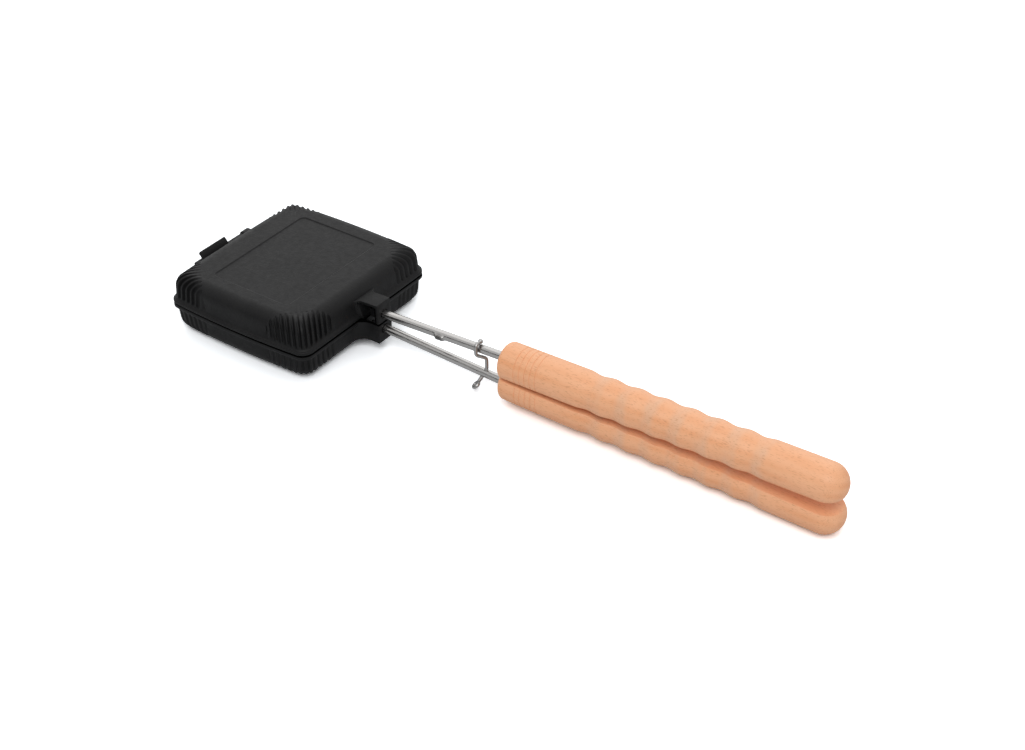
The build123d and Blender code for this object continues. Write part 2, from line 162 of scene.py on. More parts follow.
def new_material(name, colour, roughness, metallic=0.0):
    """A material with its constant values set on the shader's own sockets."""
    material = bpy.data.materials.new(name)
    material.use_nodes = True
    shader = material.node_tree.nodes["Principled BSDF"]
    feed(shader.inputs["Base Color"], (*colour, 1))
    feed(shader.inputs["Roughness"], roughness)
    feed(shader.inputs["Metallic"], metallic)
    return material, shader


def object_place(tree):
    """The object's own coordinates, in metres."""
    return new_node(tree, "TexCoord")["Object"]


def split(tree, vector):
    """A vector's X, Y and Z, by name."""
    return new_node(tree, "SeparateXYZ", {0: vector})


def object_noise(tree, scale, detail=2.0, stretch=(1, 1, 1)):
    """Noise on the object's coordinates, in cells per metre, with each axis scaled."""
    place = new_node(tree, "Mapping", {"Vector": object_place(tree), "Scale": stretch})["Vector"]
    return new_node(tree, "TexNoise", {"Vector": place, "Scale": scale, "Detail": detail})["Fac"]


def waves(tree, place, pitch, inputs, **settings):
    """A wave texture that repeats with a pitch in metres.

    The node's wave is the sine of 20 times its scale times the place, so its scale is
    2 pi over 20 times the pitch.
    """
    scale = 2 * np.pi / 20 / pitch
    return new_node(tree, "TexWave", {"Vector": place, "Scale": scale, **inputs}, **settings)["Fac"]


def spread(tree, value, low, high, from_low=0.3, from_high=0.7):
    """Maps one range to another and holds its ends. The first is a noise's middle if not given."""
    return new_node(tree, "MapRange", {
        "Value": value, "From Min": from_low, "From Max": from_high, "To Min": low, "To Max": high,
    })["Result"]


def calc(tree, operation, *values):
    """The result of a math node on numbers or other nodes' results."""
    return new_node(tree, "Math", enumerate(values), operation=operation)[0]


def product(tree, *values):
    """Several masks multiplied: 1 only where all of them are 1."""
    result = values[0]
    for value in values[1:]:
        result = calc(tree, "MULTIPLY", result, value)
    return result


def blend(tree, share, first, second):
    """A colour between two others, by a share from 0 to 1."""
    first, second = (
        (*colour, 1) if isinstance(colour, tuple) else colour for colour in (first, second)
    )
    return new_node(tree, "Mix", {0: share, 6: first, 7: second}, data_type="RGBA")[2]


def bumped(tree, shader, height, strength, depth):
    """Adds a bump of that depth in metres, on top of any bump already there."""
    normal = shader.inputs["Normal"]
    inputs = {"Height": height, "Strength": strength, "Distance": depth}
    if normal.links:
        inputs["Normal"] = normal.links[0].from_socket
    feed(normal, new_node(tree, "Bump", inputs)["Normal"])


# %% [markdown]
# ## Floor, sky and lamps
#
# A white sweep of paper lights small objects softly from all sides. Here the floor is one
# large sheet, and two large soft lamps stand for the studio's. The sky is white where it
# is seen, dimmer in mirrors and dimmer still as a lamp. The floor is white to the camera
# and darker to the light that it passes on, so the page stays white and the shadow under
# the iron stays soft. A dark card hangs low on the near side, as in a studio: it draws
# the dark line along the rods and deepens the near shoulders of the iron.

# %% Sky
SKY_SEEN, SKY_MIRRORED, SKY_LIGHT = 1.0, 0.85, 0.6


def by_ray(tree, seen, mirrored, lighting):
    """Three values: for the eye's rays, for those by way of mirrors or glass, and for others."""
    path = new_node(tree, "LightPath")
    by_mirrors = calc(tree, "MAXIMUM", path["Is Glossy Ray"], path["Is Transmission Ray"])
    indirect = spread(tree, by_mirrors, lighting, mirrored, 0, 1)
    return spread(tree, path["Is Camera Ray"], indirect, seen, 0, 1)


world = bpy.data.worlds.new("studio")
world.use_nodes = True
bpy.context.scene.world = world
sky = world.node_tree.nodes["Background"]
feed(sky.inputs["Color"], (1, 1, 1, 1))
feed(sky.inputs["Strength"], by_ray(world.node_tree, SKY_SEEN, SKY_MIRRORED, SKY_LIGHT))

# %% Floor
FLOOR_HALF = 6.0
FLOOR_SEEN, FLOOR_MIRRORED, FLOOR_PASSED_ON = 1.5, 0.66, 0.8
PAPER_TONE = (0.97, 0.99, 1.01)  # cool, against the warm light that the wood throws on it


def sheet(name, corners):
    """A new four-cornered sheet."""
    mesh = bpy.data.meshes.new(name)
    mesh.from_pydata(corners, [], [(0, 1, 2, 3)])
    return new_object(name, mesh)


floor = sheet("floor", [
    (x * FLOOR_HALF, y * FLOOR_HALF, 0) for x, y in ((-1, -1), (1, -1), (1, 1), (-1, 1))
])
paper = bpy.data.materials.new("white_paper")
paper.use_nodes = True
tree = paper.node_tree
tree.nodes.clear()
brightness = by_ray(tree, FLOOR_SEEN, FLOOR_MIRRORED, FLOOR_PASSED_ON)
tone = new_node(tree, "VectorMath", {0: PAPER_TONE, "Scale": brightness}, operation="SCALE")
matt = new_node(tree, "BsdfDiffuse", {"Color": tone["Vector"]})
new_node(tree, "OutputMaterial", {"Surface": matt["BSDF"]})
floor.data.materials.append(paper)

# %% Lamps
LAMPS = {  # place, the point that it shines at, width and watts
    "far_lamp": ((-0.95, 1.3, 1.5), (-0.1, 0, 0), 3.3, 23),
    "near_lamp": ((0.5, -0.9, 1.45), (0, 0, 0), 1.1, 14.5),
}
for name, (place, aim, width, watts) in LAMPS.items():
    lamp = new_object(name, bpy.data.lights.new(name, "AREA"))
    lamp.data.size = width
    lamp.data.energy = watts
    lamp.location = place
    lamp.rotation_mode = "QUATERNION"
    lamp.rotation_quaternion = (Vector(aim) - Vector(place)).to_track_quat("-Z", "Y")

# %% Dark card
CARD_Y, CARD_HALF_WIDTH, CARD_LOW, CARD_HIGH = -1.2, 2.4, 0.18, 0.66
card = sheet("dark_card", [
    (side * CARD_HALF_WIDTH, CARD_Y, height)
    for side, height in ((-1, CARD_LOW), (1, CARD_LOW), (1, CARD_HIGH), (-1, CARD_HIGH))
])
card.visible_camera = False
black_card, _ = new_material("black_card", (0.01, 0.01, 0.01), 1.0)
card.data.materials.append(black_card)

# %% [markdown]
# ## Cast iron
#
# A seasoned casting is black and satin, with the fine grain of the sand that it was
# poured in. An image of rust or stone would not follow the shape, so noise of four
# sizes, read from the object's own coordinates, does it: two fine ones for the sand, a
# middle one for the oil's uneven sheen and a slow one for its colour. The colour is
# linked below, once it is known where shade is painted on it.

# %% Cast iron
IRON_DARK = (0.006, 0.006, 0.0063)
IRON_PALE = (0.009, 0.009, 0.0093)

cast_iron, iron_shader = new_material("seasoned_cast_iron", IRON_DARK, 0.5)
tree = cast_iron.node_tree
unshaded_iron = blend(tree, spread(tree, object_noise(tree, 45), 0, 1), IRON_DARK, IRON_PALE)
sheen = object_noise(tree, 260, detail=3)
feed(iron_shader.inputs["Roughness"], spread(tree, sheen, 0.46, 0.56))
bumped(tree, iron_shader, object_noise(tree, 700, detail=3), 0.5, 0.00025)
bumped(tree, iron_shader, object_noise(tree, 1800), 0.4, 0.0001)

# %% [markdown]
# ## Steel, blackened steel and wire
#
# Drawn rods are bright, with hair-fine lines along them; the nuts are blackened and the
# latch is plain spring wire. All three are one metal with another colour and another
# roughness. Stretching the noise along X turns its grains into drawn lines.

# %% Steels


def drawn_steel(name, colour, roughness):
    """Bright or dark metal with fine lines along X."""
    material, shader = new_material(name, colour, roughness, metallic=1.0)
    tree = material.node_tree
    lines = object_noise(tree, 1500, stretch=(0.02, 1, 1))
    feed(shader.inputs["Roughness"], spread(tree, lines, roughness - 0.05, roughness + 0.08))
    bumped(tree, shader, lines, 0.25, 0.00003)
    return material, shader


wire_steel, _ = drawn_steel("spring_wire", (0.38, 0.375, 0.37), 0.3)
blackened_steel, _ = drawn_steel("blackened_steel", (0.02, 0.02, 0.021), 0.6)

# %% The rods' steel, with painted shade in the sockets and a painted dark reflection round the lug
# Painted shade and reflection: the threads in the sockets' pockets turn nearly black for the shade
# there, and the lug darkens for the dark that its faces mirror
ROD_BRIGHT, ROD_PAINTED_DARK = (0.44, 0.43, 0.42), (0.012, 0.012, 0.012)
SHADE_PAINTED_BEFORE = -0.0985  # metres along X: the threads inside the sockets lie before it
LUG_CENTRE, LUG_REACH = (-0.04875, -0.0036, 0.0274), (0.0028, 0.0048)  # metres

rod_steel, rod_shader = drawn_steel("drawn_rod_steel", ROD_BRIGHT, 0.22)
tree = rod_steel.node_tree
place = object_place(tree)
from_lug = new_node(tree, "VectorMath", {0: place, 1: LUG_CENTRE}, operation="DISTANCE")["Value"]
in_socket = spread(tree, split(tree, place)["X"], 1, 0, SHADE_PAINTED_BEFORE - 0.0005, SHADE_PAINTED_BEFORE)
at_lug = spread(tree, from_lug, 0.75, 0, *LUG_REACH)
# Where the painted shade and the painted dark reflection lie on the rod
rod_painted_dark = calc(tree, "MAXIMUM", in_socket, at_lug)
feed(rod_shader.inputs["Base Color"], blend(tree, rod_painted_dark, ROD_BRIGHT, ROD_PAINTED_DARK))

# %% [markdown]
# ## Beech
#
# Beech is pale and pinkish, with faint year rings and thousands of short dark flecks
# along the grain. The rings are cylinders round a pith outside the grip. One flank of
# each hollow that a turner cuts is painted paler and greyer by a wave with the hollows'
# pitch: a painted sheen where the lamps shine on that flank, and partly the end grain of
# a flank that lies across the grain. The flecks are noise stretched along X and cut off
# near its top.

# %% Beech
BEECH_PALE = (0.83, 0.43, 0.235)
BEECH_DEEP = (0.78, 0.355, 0.17)
BEECH_FLECK = (0.50, 0.20, 0.085)
# Painted sheen, partly end grain: the paler, greyer colour of one flank of each hollow
BEECH_SHEEN_AND_END_GRAIN = (0.70, 0.44, 0.29)  # on a flank that lies across the grain
PITH_PLACE = (0.0, -0.045, -0.06)  # metres, beside and under the grips
PITH_TURN = (0, np.radians(1.2), np.radians(-1.6))  # no grip is cut quite along the tree
YEAR_RING_PITCH = 0.00658  # metres, like the lengths below
FIRST_FLANK_X, FLANK_PITCH, FLANK_COUNT = 0.0778, 0.0191, 7
FLANK_FADE = 0.002

beech, beech_shader = new_material("oiled_beech", BEECH_PALE, 0.5)
tree = beech.node_tree
place = object_place(tree)
from_pith = new_node(tree, "Mapping", {
    "Vector": place, "Location": [-v for v in PITH_PLACE], "Rotation": PITH_TURN,
})["Vector"]
year_rings = waves(
    tree, from_pith, YEAR_RING_PITCH, {"Distortion": 2.2, "Detail": 2.0, "Detail Scale": 0.3},
    wave_type="RINGS", rings_direction="X",
)
in_ring = spread(tree, year_rings, 0.25, 1, 0, 1)
patches = spread(tree, object_noise(tree, 90, stretch=(0.3, 1, 1)), 0, 1)
wood = blend(tree, product(tree, in_ring, patches), BEECH_PALE, BEECH_DEEP)

# A painted sheen, with some end grain, on one flank of each hollow
flank_phase = np.pi - 2 * np.pi * FIRST_FLANK_X / FLANK_PITCH
flanks = waves(tree, place, FLANK_PITCH, {"Phase Offset": flank_phase})
flanks_middle = FIRST_FLANK_X + (FLANK_COUNT - 1) / 2 * FLANK_PITCH
flanks_half = FLANK_COUNT / 2 * FLANK_PITCH
from_middle = calc(tree, "ABSOLUTE", calc(tree, "SUBTRACT", split(tree, place)["X"], flanks_middle))
flank_sheen_and_grain = product(
    tree,
    spread(tree, flanks, 0, 0.6, 0.3, 0.85),
    spread(tree, object_noise(tree, 75, stretch=(1.3, 1, 1)), 0, 1),
    spread(tree, from_middle, 1, 0, flanks_half - FLANK_FADE, flanks_half),
)
wood = blend(tree, flank_sheen_and_grain, wood, BEECH_SHEEN_AND_END_GRAIN)

flecks = object_noise(tree, 2100, detail=1, stretch=(0.15, 1, 1))
wood = blend(tree, spread(tree, flecks, 0, 0.5, 0.57, 0.72), wood, BEECH_FLECK)
feed(beech_shader.inputs["Base Color"], wood)
bumped(tree, beech_shader, object_noise(tree, 1500, stretch=(0.08, 1, 1)), 0.2, 0.0001)

# %% [markdown]
# ## From rings of points to a closed mesh
#
# Nearly every piece here is a stack of rings: each ring has the same number of points,
# and neighbours are joined by four-sided faces. The two ends are closed with one flat
# face each. A sum over the faces gives the volume, and where it comes out negative, the
# faces are turned round, so they always point outwards.

# %% Rings to faces


def faces_between(rings, points):
    """Four-sided faces of a stack of closed rings, by index, worked out for all at once."""
    row = np.arange(rings - 1)[:, None] * points
    column = np.arange(points)[None, :]
    following = (column + 1) % points
    corners = (row + column, row + following, row + points + following, row + points + column)
    return np.stack(corners, axis=-1).reshape(-1, 4)


def stacked(rings, closed=False):
    """Vertices and faces of a stack of rings (rings, points, 3), capped or joined end to end."""
    count, points, _ = rings.shape
    vertices = rings.reshape(-1, 3)
    if closed:
        quads = faces_between(count + 1, points) % (count * points)
        caps = []
    else:
        quads = faces_between(count, points)
        last = (count - 1) * points
        caps = [list(range(points))[::-1], list(range(last, last + points))]
    a, b, c, d = (vertices[quads[:, k]] for k in range(4))
    through = np.einsum("ij,ij->i", a, np.cross(b, c) + np.cross(c, d))
    for cap in caps:
        ring = vertices[cap]
        through = np.append(through, np.sum(ring[0] * np.cross(ring[1:-1], ring[2:])))
    faces = quads.tolist() + caps
    if through.sum() < 0:
        faces = [face[::-1] for face in faces]
    return vertices, faces


# %% Meshes and pieces


def to_mesh(name, parts):
    """One mesh of several (vertices, faces) parts, each with its own points."""
    vertices, faces, offset = [], [], 0
    for part_vertices, part_faces in parts:
        vertices += part_vertices.tolist()
        faces += [[index + offset for index in face] for face in part_faces]
        offset += len(part_vertices)
    mesh = bpy.data.meshes.new(name)
    mesh.from_pydata(vertices, [], faces)
    mesh.validate()
    return mesh


def piece(name, parts, material, body, node, smooth_angle=40):
    """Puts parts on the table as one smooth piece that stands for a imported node."""
    mesh = to_mesh(name, [(on_table(vertices), faces) for vertices, faces in parts])
    mesh.materials.append(material)
    mesh.shade_smooth()
    mesh.set_sharp_from_angle(angle=np.radians(smooth_angle))
    made = new_object(name, mesh)
    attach(made, body)
    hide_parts(node)
    print(name, "has", len(mesh.vertices), "points and", len(mesh.polygons), "faces")


# %% [markdown]
# ## Cutting and rounding a block
#
# The socket and the hinge are plain blocks with holes and soft cast edges. Those edges
# could be worked out too, but Blender's Boolean and Bevel modifiers do just that, so a
# block is made as a temporary object, modified, and read back as points and faces.

# %% Blocks
EDGE_SEGMENTS, EDGE_ANGLE = 3, 32  # an edge is rounded where its faces meet at a larger angle


def prism(outline, axis, start, end):
    """An outline of points (n, 2) carried along one axis from start to end."""
    rings = np.stack([np.insert(outline, axis, level, axis=1) for level in (start, end)])
    return stacked(rings)


def cut_and_rounded(part, cutters, width):
    """A part with cutters taken out of it and its edges rounded to a width."""
    made = []
    for number, (vertices, faces) in enumerate([part, *cutters]):
        shape = new_object("working", to_mesh("working", [(vertices, faces)]))
        made.append(shape)
        if number:
            cut = made[0].modifiers.new("cut", "BOOLEAN")
            cut.operation = "DIFFERENCE"
            cut.solver = "EXACT"
            cut.object = shape
    edge = made[0].modifiers.new("edge", "BEVEL")
    edge.width = width
    edge.segments = EDGE_SEGMENTS
    edge.limit_method = "ANGLE"
    edge.angle_limit = np.radians(EDGE_ANGLE)
    modified = made[0].evaluated_get(bpy.context.evaluated_depsgraph_get())
    result = modified.to_mesh()
    vertices = np.empty(len(result.vertices) * 3)
    result.vertices.foreach_get("co", vertices)
    faces = [list(face.vertices) for face in result.polygons]
    modified.to_mesh_clear()
    for shape in made:
        bpy.data.objects.remove(shape)
    return vertices.reshape(-1, 3), faces


# %% [markdown]
# ## Long lines over a pan
#
# Each pan is a rounded box with flutes over its corners. The flutes run straight along
# the corner's diagonal, over the shoulder and down the wall, so the surface's long lines
# do too: at each corner they are spaced evenly across the diagonal, and between two
# corners they are shared out evenly. A rounded rectangle of any size crosses these lines
# at points that a formula gives, so the whole pan is a stack of such rectangles.

# %% The pan's long lines
PAN_LENGTH, PAN_WIDTH, PAN_DEPTH = 122.7, 127.5, 21.5
SIDE_BOW = 2.58  # how far the long sides' middles stand out past their ends
HINGE_SIDE_FULLER = 1.4  # how far the shoulder on the hinge's side stands out in its middle
RIM_PROUD = 1.6
WALL_HALF = np.array([PAN_LENGTH / 2 - RIM_PROUD, PAN_WIDTH / 2 - RIM_PROUD])
FLUTE_PITCH = 3.35
FLUTE_COUNT = 14
POINTS_PER_FLUTE = 12
POINTS_PER_SIDE = 16
ROOT_2 = np.sqrt(2)

fluted_half = FLUTE_COUNT / 2 * FLUTE_PITCH
across = np.linspace(-fluted_half, fluted_half, FLUTE_COUNT * POINTS_PER_FLUTE + 1)
share = np.linspace(-1, 1, POINTS_PER_SIDE + 1)[1:-1]


def long_lines():
    """Each line's corner signs, place across the diagonal, share of its plain side, and side.

    The side is 0 at a corner, 1 between two corners along X and -1 between two along Y.
    """
    lines = []
    for sign_x, sign_y in ((1, 1), (-1, 1), (-1, -1), (1, -1)):
        side = sign_x * sign_y  # also the way in which the corner's lines are counted
        lines += [(sign_x, sign_y, side * place, 0, 0) for place in across]
        lines += [(sign_x, sign_y, 0, -sign_y * place, side) for place in share]
    return np.array(lines).T


line_sign_x, line_sign_y, q, share_of_side, line_side = long_lines()
is_corner = line_side == 0
print(len(q), "long lines,", int(is_corner.sum()), "of them over the corners")


def around_pan(half_x, half_y, corner_r, bow=SIDE_BOW):
    """Where the long lines cross rounded rectangles round the pan's middle.

    At a corner, the crossing's distance along the diagonal is the smaller of the two
    sides' (half_x * root 2 + q and half_y * root 2 - q), or on the corner's arc it is
    the arc's centre plus the root of radius squared less (q - centre's q) squared.
    The bow then moves each point outwards by its share of one less its place along the
    side squared, which is a parabola.
    """
    arc_p = (half_x + half_y - 2 * corner_r) / ROOT_2
    arc_q = q - (half_y - half_x) / ROOT_2
    on_arc = np.abs(arc_q) <= corner_r / ROOT_2
    sides = np.minimum(half_x * ROOT_2 + q, half_y * ROOT_2 - q)
    arc = arc_p + np.sqrt(np.maximum(corner_r**2 - arc_q**2, 0))
    p = np.where(on_arc, arc, sides)
    edge_x = half_y - ROOT_2 * fluted_half
    edge_y = half_x - ROOT_2 * fluted_half
    side_x = np.where(line_side > 0, edge_x * share_of_side, line_sign_x * half_x)
    side_y = np.where(line_side > 0, line_sign_y * half_y, edge_y * share_of_side)
    x = np.where(is_corner, line_sign_x * (p - q) / ROOT_2, side_x)
    y = np.where(is_corner, line_sign_y * (p + q) / ROOT_2, side_y)
    y = y + bow * (y / half_y) * (1 - (x / (PAN_LENGTH / 2)) ** 2)
    return x, y, (line_sign_x * x + line_sign_y * y) / ROOT_2


# %% [markdown]
# ## The pan's section
#
# Cut through, a pan goes from the floor of its hollow, down the hollow's wall, over the
# flat land where the two pans meet, out to the rim, up the outer wall, over the shoulder
# and across the top into a shallow panel. Its corners are rounded as a pattern maker
# rounds them, by an arc that touches both lines.

# %% Rounded sections


def unit(vectors):
    """The same directions with length 1."""
    return vectors / np.linalg.norm(vectors, axis=-1, keepdims=True)


def full_turn(count):
    """Angles spaced evenly over a full turn."""
    return np.linspace(0, 2 * np.pi, count, endpoint=False)


def arcs_at(corners, radii, steps):
    """A route through corners, each inner one replaced by an arc that touches both its lines.

    The arc starts radius / tan(half the corner's angle) before the corner, and turns
    evenly from one line to the next.
    """
    path = [corners[0]]
    for before, corner, after, radius in zip(corners, corners[1:], corners[2:], radii):
        towards = unit(np.array([before, after]) - corner)
        half_angle = np.arccos(np.clip(towards[0] @ towards[1], -1, 1)) / 2
        centre = corner + unit(towards.sum(axis=0)) * radius / np.sin(half_angle)
        start, end = corner + towards * radius / np.tan(half_angle) - centre
        sweep = np.pi - 2 * half_angle
        turns = np.linspace(0, 1, steps)[:, None]
        from_centre = np.sin((1 - turns) * sweep) * start + np.sin(turns * sweep) * end
        path.extend(centre + from_centre / np.sin(sweep))
    path.append(corners[-1])
    return np.array(path)


def rounded(corners, steps=5):
    """A section from rows of inset, height and the radius of the corner there."""
    corners = np.array(corners)
    return arcs_at(corners[:, :2], corners[1:-1, 2], steps)


# %% The pan's section
RIM_TOP = 3.0
RIM_GAP = 0.5
CAST_WALL = 4.0
LAND_WIDTH = 2.6
CAVITY_CORNER_R, CAVITY_LEAST_R = 6.0, 1.0
HOLLOW_FLOOR = 17.5
WALL_CORNER_R = 7.0
RIM_INSETS, RIM_CORNER_RS = (-RIM_PROUD, -0.7, 0), (7.5, 7.2, WALL_CORNER_R)
WALL_LEAN = np.tan(np.radians(4))  # the draft that lets the pattern out of the sand
WALL_START = 4.3

# Each row is an inset from the wall's line at the parting plane, a height, and a radius.
hollow_section = rounded([
    (25.0, HOLLOW_FLOOR, 0),
    (CAST_WALL + HOLLOW_FLOOR * WALL_LEAN, HOLLOW_FLOOR, 5.0),
    (CAST_WALL, 0.0, 0.4),
    (CAST_WALL - LAND_WIDTH, 0.0, 0.15),
    (CAST_WALL - LAND_WIDTH, RIM_GAP, 0.1),
    (0.9, RIM_GAP, 0),
])
rim_section = rounded([
    (-0.3, RIM_GAP, 0),
    (-RIM_PROUD, RIM_GAP, 0.6),
    (-RIM_PROUD, RIM_TOP, 0.8),
    (-0.75, RIM_TOP, 0.3),
    (0.05, WALL_START - 0.5, 0.6),
    (WALL_START * WALL_LEAN, WALL_START, 0),
])
print("section points:", len(hollow_section), "inside and", len(rim_section), "round the rim")

# %% [markdown]
# ## Flutes
#
# On each corner the crests of the flutes stand fuller than the plain shoulder beside
# them and the grooves lie a little under it. So there are three sections with the same
# number of points: plain, crest and groove. A wave across the diagonal mixes the last
# two, and a mask, which is 1 past a straight line across the corner, mixes the result
# with the plain one. Displacing along normals would do it too, but this keeps every
# flute exactly along its line.

# %% Plain, crest and groove sections
WALL_ROWS, SHOULDER_ROWS, FLAT_ROWS = 8, 18, 12
FLAT_END = 15.0


def wall_and_shoulder(shoulder_r, inset, drop):
    """Inset and height of a leaning wall, a shoulder arc and the flat top.

    The arc's centre lies so that the arc touches the wall's line, moved in by the inset,
    and the top's line, lowered by the drop.
    """
    top = PAN_DEPTH - drop
    lean = np.arctan(WALL_LEAN)
    centre_z = top - shoulder_r
    centre_inset = inset + centre_z * WALL_LEAN + shoulder_r / np.cos(lean)
    arc = np.linspace(lean, np.pi / 2, SHOULDER_ROWS)
    arc_z = centre_z + shoulder_r * np.sin(arc)
    wall_z = np.linspace(WALL_START, arc_z[0], WALL_ROWS)[:-1]
    flat_inset = np.linspace(centre_inset, FLAT_END, FLAT_ROWS)[1:]
    arc_inset = centre_inset - shoulder_r * np.cos(arc)
    insets = np.concatenate([inset + wall_z * WALL_LEAN, arc_inset, flat_inset])
    heights = np.concatenate([wall_z, arc_z, np.full(FLAT_ROWS - 1, top)])
    return insets[:, None], heights[:, None]


plain = wall_and_shoulder(shoulder_r=10.0, inset=0.0, drop=0.0)
crest = wall_and_shoulder(shoulder_r=9.2, inset=0.0, drop=0.0)
groove = wall_and_shoulder(shoulder_r=9.8, inset=0.95, drop=0.14)

# %% Mixing the flutes
FLUTE_START = 65.0  # the straight line across the corner, from the pan's middle
FLUTE_FADE = 0.9
FLUTE_FOOT = WALL_START + 0.3, WALL_START + 1.5  # heights between which a flute deepens
CREST_SHAPE = 0.1, 0.8  # eases the wave, so that crests are round and grooves narrow
CORNER_R_LIMITS = 1.2, 11.5


def eased(value, start, end):
    """0 before start, 1 after end, and 3 t squared less 2 t cubed at a share t between them."""
    t = np.clip((value - start) / (end - start), 0, 1)
    return t * t * (3 - 2 * t)


def corner_radius(inset, growth):
    """The outside corner's radius, which grows or shrinks as the section moves inwards."""
    return np.clip(WALL_CORNER_R + growth * inset, *CORNER_R_LIMITS)


def fluted_sections(depth, growth):
    """Inset and height for each row and long line, with flutes of a share of the full depth."""
    _, _, p = around_pan(*(WALL_HALF[:, None, None] - plain[0]), corner_radius(plain[0], growth))
    wave = eased(0.5 - 0.5 * np.cos(2 * np.pi * q / FLUTE_PITCH), *CREST_SHAPE)
    past_line = eased(p, FLUTE_START - FLUTE_FADE / 2, FLUTE_START + FLUTE_FADE / 2)
    mask = past_line * eased(plain[1], *FLUTE_FOOT) * is_corner
    fullness = eased(np.abs(q), fluted_half, fluted_half - FLUTE_PITCH / 2)
    mixed = []
    for plain_part, crest_part, groove_part in zip(plain, crest, groove):
        full = plain_part + (crest_part - plain_part) * fullness
        ribbed = full + (groove_part - full) * (1 - wave) * depth
        mixed.append(plain_part + (ribbed - plain_part) * mask)
    return mixed


print("flutes reach", round(float(fluted_sections(1.0, 0.0)[1].max()), 2), "mm high")

# %% [markdown]
# ## One pan as a stack of rings
#
# The rings run from the floor of the hollow to the panel in the top. Both ends are flat,
# so one face closes each.

# %% The pan
PANEL_HALF = np.array([33.5, 46.0])
PANEL_CORNER_R = 4.0
PANEL_DEPTH = 0.55
PAN_MIDDLE_X = PAN_LENGTH / 2
PANEL_MIDDLE_X = 60.5
FULLER_BETWEEN = 6.0, 15.0  # heights over which the hinge side's shoulder gets fuller
FULLER_POWER = 4  # gathers the fullness near the hinge side

panel_section = rounded([
    (-0.6, 0.0, 0),
    (-0.2, 0.0, 0.4),
    (0.5, -PANEL_DEPTH, 0.4),
    (1.0, -PANEL_DEPTH, 0),
], steps=4)


def rings_at(half, inset, corner_r, height, middle_x=PAN_MIDDLE_X, bow=SIDE_BOW):
    """Rings of points at heights round the pan, each inset from a rectangle of half sides."""
    x, y, _ = around_pan(*(half[:, None, None] - inset), corner_r, bow)
    return np.stack(np.broadcast_arrays(x + middle_x, y, height), axis=-1)


def section_rings(section, radius_at):
    """Rings of a section whose first column is the inset from the wall's line."""
    inset, height = section[:, :1], section[:, 1:]
    return rings_at(WALL_HALF, inset, radius_at(inset), height)


def pan(flute_depth, growth):
    """The whole pan, from the hollow's floor over the rim to the panel."""
    fluted_inset, fluted_height = fluted_sections(flute_depth, growth)
    hollow = section_rings(
        hollow_section,
        lambda inset: np.maximum(CAVITY_CORNER_R + CAST_WALL - inset, CAVITY_LEAST_R),
    )
    rim = section_rings(rim_section, lambda inset: np.interp(inset, RIM_INSETS, RIM_CORNER_RS))
    fluted = rings_at(
        WALL_HALF, fluted_inset, corner_radius(fluted_inset, growth), fluted_height
    )
    to_hinge = np.clip((PAN_MIDDLE_X - fluted[..., 0]) / WALL_HALF[0], 0, 1) ** FULLER_POWER
    full = eased(fluted[..., 2], *FULLER_BETWEEN) * (1 - (fluted[..., 1] / WALL_HALF[1]) ** 2)
    fluted[..., 0] -= HINGE_SIDE_FULLER * to_hinge * full
    inset, drop = panel_section[:, :1], panel_section[:, 1:]
    panel = rings_at(
        PANEL_HALF, inset, PANEL_CORNER_R - inset, PAN_DEPTH + drop, PANEL_MIDDLE_X, bow=0
    )
    return stacked(np.concatenate([hollow, rim[:-1], fluted, panel]))


upper_pan = pan(flute_depth=1.0, growth=-0.6)
lower_pan = pan(flute_depth=0.55, growth=0.42)  # this one has worn more
print("one pan has", len(upper_pan[0]), "points")

# %% [markdown]
# ## Socket
#
# The rod is held in a hollow block at the pan's front. The block flares into the pan,
# its side is open so that a spanner reaches the nut, and its front wall has a bore. It
# is drawn from above, carried up to a sloped top, and then cut and rounded.

# %% Along the rod
ROD_AT_SOCKET, ROD_AT_GRIP = 5.75, 9.9  # heights of the rod over the parting plane
SOCKET_REACH = 14.7
GRIP_FRONT_X = 238.4
SOCKET_X = PAN_LENGTH + SOCKET_REACH
rod_slope = np.arctan2(ROD_AT_GRIP - ROD_AT_SOCKET, GRIP_FRONT_X - SOCKET_X)
rod_start = np.array([SOCKET_X, 0, ROD_AT_SOCKET])


def beside_rod(points):
    """Points along, across and above the rod from the socket's front, in the casting's frame."""
    return points @ about_y(rod_slope).T + rod_start


def arc_points(centre, radius, start, end, count):
    """Points on an arc, centre plus radius times cosine and sine, angles in degrees."""
    angle = np.radians(np.linspace(start, end, count))
    return np.array(centre) + radius * np.stack([np.cos(angle), np.sin(angle)], axis=1)


# %% Socket
SOCKET_HALF = 6.75
SOCKET_TOP = 9.3  # over the rod
UPPER_FLARE_R, LOWER_FLARE_R = 4.0, 11.0
SOCKET_EDGE_R = 0.8
FRONT_WALL, SIDE_WALL, TOP_WALL = 2.8, 2.0, 1.9
POCKET_BACK = SOCKET_REACH - 2.0
POCKET_LEAN = 3.0  # the pocket's back leans towards the pan at its top
STUD_BORE_R = 2.6
ROD_SEAT_R, ROD_SEAT = 3.35, 0.8  # the recess that the rod's shoulder stands in
FLARE_STEPS = 10


